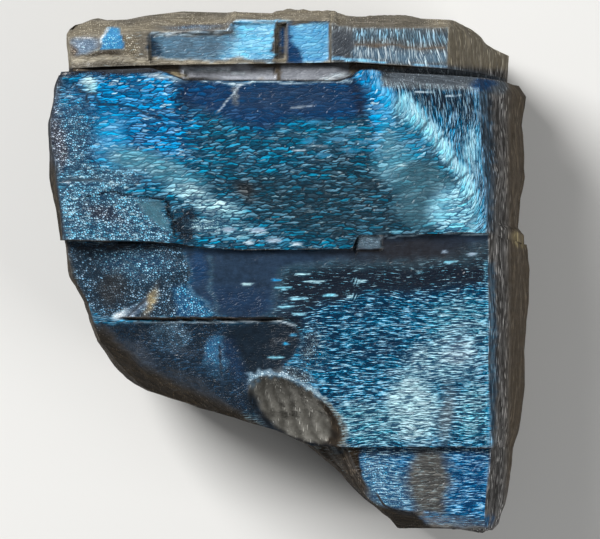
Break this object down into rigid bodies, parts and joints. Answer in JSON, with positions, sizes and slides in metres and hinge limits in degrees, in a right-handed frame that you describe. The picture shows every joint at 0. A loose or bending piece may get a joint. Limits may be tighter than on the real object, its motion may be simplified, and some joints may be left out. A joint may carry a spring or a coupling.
{
  "type": "rough moonstone specimen",
  "caption": "Rough cleavage block of blue-sheen moonstone, stepped in layers, lying on its flat back with the etched face up.",
  "frame": {"origin": "centre of the bounding box in X and Y, on the surface that the stone lies on", "axes": "+Z out of the etched face, up off the surface; +Y along the face from the narrow foot to the thin top slab; +X to the right, seen from above with +Y up"},
  "size_m": [0.0614, 0.066, 0.0247],
  "materials": {
    "feldspar": "Blue-sheen feldspar: glassy cleavage faces etched into small lens-shaped pits that flash blue to pale cyan over navy, with smoky grey-brown broken sides. Opaque at this thickness."
  },
  "bodies": {
    "root": {"moonstone": "feldspar"}
  },
  "joints": []
}
